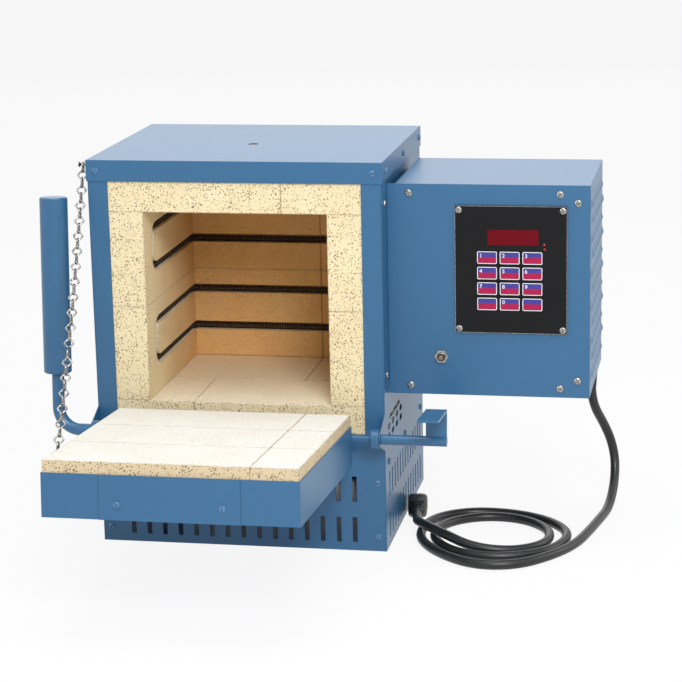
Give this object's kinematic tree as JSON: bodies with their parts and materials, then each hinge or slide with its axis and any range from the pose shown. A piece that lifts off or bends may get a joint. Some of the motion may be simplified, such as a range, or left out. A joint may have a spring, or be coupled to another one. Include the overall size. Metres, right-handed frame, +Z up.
{
  "type": "dental burnout furnace",
  "caption": "Bench-top electric burnout furnace: brick-lined steel cabinet with a counterweighted drop-down door on a chain, and a keypad control box on its side.",
  "frame": {"origin": "centre of the cabinet's footprint, on its underside", "axes": "+X to the right seen from the front, +Y to the back, +Z up; the control box is on the +X side and the door opens towards -Y"},
  "size_m": [0.6748, 0.6268, 0.4728],
  "materials": {
    "blue_paint": "semi-gloss mid blue paint",
    "firebrick": "porous cream insulating firebrick",
    "plain_steel": "plain mill-finish sheet",
    "element_wire": "oxidised resistance wire",
    "porcelain": "white porcelain",
    "probe_sheath": "ceramic sheath",
    "black_face": "satin black film",
    "red_window": "dark red window",
    "key_film": "black key with a white border",
    "board": "green circuit board",
    "core_steel": "varnished laminations",
    "black_moulding": "black moulding",
    "bright_steel": "bright plated steel",
    "white_button": "white push button",
    "painted_screw": "screw heads painted blue with the cabinet",
    "black_rubber": "black cord rubber",
    "blue_part": "mid blue paint",
    "bar_steel": "blue painted bar",
    "weight_paint": "blue painted tube",
    "lever_paint": "blue painted lever",
    "chain_steel": "plated chain wire"
  },
  "bodies": {
    "cabinet": {"bottom_pan": "blue_paint", "front_frame": "blue_paint", "side_panel_left": "blue_paint", "side_panel_right": "blue_paint", "back_panel": "blue_paint", "lid": "blue_paint", "brick_tray": "plain_steel", "floor_bricks_long": "firebrick", "floor_bricks_short": "firebrick", "back_bricks_long": "firebrick", "back_bricks_short": "firebrick", "side_brick_left_lower": "firebrick", "side_brick_left_upper": "firebrick", "side_brick_right_lower": "firebrick", "side_brick_right_upper": "firebrick", "roof_bricks_long": "firebrick", "roof_bricks_short": "firebrick", "element_upper": "element_wire", "element_lower": "element_wire", "element_terminals": "element_wire", "terminal_bushings": "porcelain", "thermocouple": "probe_sheath", "control_shell": "blue_paint", "control_front_plate": "blue_paint", "control_spacers": "plain_steel", "controller_face": "black_face", "display_window": "red_window", "circuit_board": "board", "transformer": "core_steel", "power_relay": "black_moulding", "reset_breaker": "black_moulding", "breaker_nut": "bright_steel", "case_screws": "painted_screw", "control_screws": "bright_steel", "cord_gland": "black_rubber", "power_cord": "black_rubber", "cord_plug": "black_rubber"},
    "door": {"door_pan": "blue_paint", "door_bricks": "firebrick", "hinge_shaft": "bar_steel", "hinge_collars": "blue_part", "counterweight_arm": "bar_steel", "counterweight_tube": "weight_paint", "door_lever": "lever_paint", "door_screws": "painted_screw"},
    "breaker_button": {"breaker_button": "white_button"},
    "chain_upper": {"chain_upper": "chain_steel"},
    "chain_lower": {"chain_lower": "chain_steel"},
    "key_1": {"key_1": "key_film"},
    "key_2": {"key_2": "key_film"},
    "key_3": {"key_3": "key_film"},
    "key_4": {"key_4": "key_film"},
    "key_5": {"key_5": "key_film"},
    "key_6": {"key_6": "key_film"},
    "key_7": {"key_7": "key_film"},
    "key_8": {"key_8": "key_film"},
    "key_9": {"key_9": "key_film"},
    "key_left": {"key_left": "key_film"},
    "key_0": {"key_0": "key_film"},
    "key_right": {"key_right": "key_film"}
  },
  "joints": [
    {"name": "door_swing", "type": "hinge", "parent": "cabinet", "child": "door", "pos_m": [0, -0.17435, 0.1488], "axis": [-1, 0, 0], "range_deg": [0, 85.4]},
    {"name": "chain_upper_swing", "type": "hinge", "parent": "cabinet", "child": "chain_upper", "pos_m": [-0.187, -0.126, 0.464], "axis": [0.872, 0.4187, -0.2534], "range_deg": [0, 12.54]},
    {"name": "chain_lower_swing", "type": "hinge", "parent": "door", "child": "chain_lower", "pos_m": [-0.1491, -0.39699, 0.17474], "axis": [-0.9557, -0.2603, 0.1377], "range_deg": [0, 74.61]},
    {"name": "reset_button_push", "type": "slide", "parent": "cabinet", "child": "breaker_button", "axis": [0, 1, 0], "range_m": [0, 0.003], "stiffness_N_per_m": 400},
    {"name": "key_1_press", "type": "slide", "parent": "cabinet", "child": "key_1", "axis": [0, 1, 0], "range_m": [0, 0.0005], "stiffness_N_per_m": 800},
    {"name": "key_2_press", "type": "slide", "parent": "cabinet", "child": "key_2", "axis": [0, 1, 0], "range_m": [0, 0.0005], "stiffness_N_per_m": 800},
    {"name": "key_3_press", "type": "slide", "parent": "cabinet", "child": "key_3", "axis": [0, 1, 0], "range_m": [0, 0.0005], "stiffness_N_per_m": 800},
    {"name": "key_4_press", "type": "slide", "parent": "cabinet", "child": "key_4", "axis": [0, 1, 0], "range_m": [0, 0.0005], "stiffness_N_per_m": 800},
    {"name": "key_5_press", "type": "slide", "parent": "cabinet", "child": "key_5", "axis": [0, 1, 0], "range_m": [0, 0.0005], "stiffness_N_per_m": 800},
    {"name": "key_6_press", "type": "slide", "parent": "cabinet", "child": "key_6", "axis": [0, 1, 0], "range_m": [0, 0.0005], "stiffness_N_per_m": 800},
    {"name": "key_7_press", "type": "slide", "parent": "cabinet", "child": "key_7", "axis": [0, 1, 0], "range_m": [0, 0.0005], "stiffness_N_per_m": 800},
    {"name": "key_8_press", "type": "slide", "parent": "cabinet", "child": "key_8", "axis": [0, 1, 0], "range_m": [0, 0.0005], "stiffness_N_per_m": 800},
    {"name": "key_9_press", "type": "slide", "parent": "cabinet", "child": "key_9", "axis": [0, 1, 0], "range_m": [0, 0.0005], "stiffness_N_per_m": 800},
    {"name": "key_left_press", "type": "slide", "parent": "cabinet", "child": "key_left", "axis": [0, 1, 0], "range_m": [0, 0.0005], "stiffness_N_per_m": 800},
    {"name": "key_0_press", "type": "slide", "parent": "cabinet", "child": "key_0", "axis": [0, 1, 0], "range_m": [0, 0.0005], "stiffness_N_per_m": 800},
    {"name": "key_right_press", "type": "slide", "parent": "cabinet", "child": "key_right", "axis": [0, 1, 0], "range_m": [0, 0.0005], "stiffness_N_per_m": 800}
  ],
  "couplings": [
    {"joint": "chain_upper_swing", "follows": "door_swing", "ratio": 0.14679},
    {"joint": "chain_lower_swing", "follows": "door_swing", "ratio": 0.8736}
  ]
}
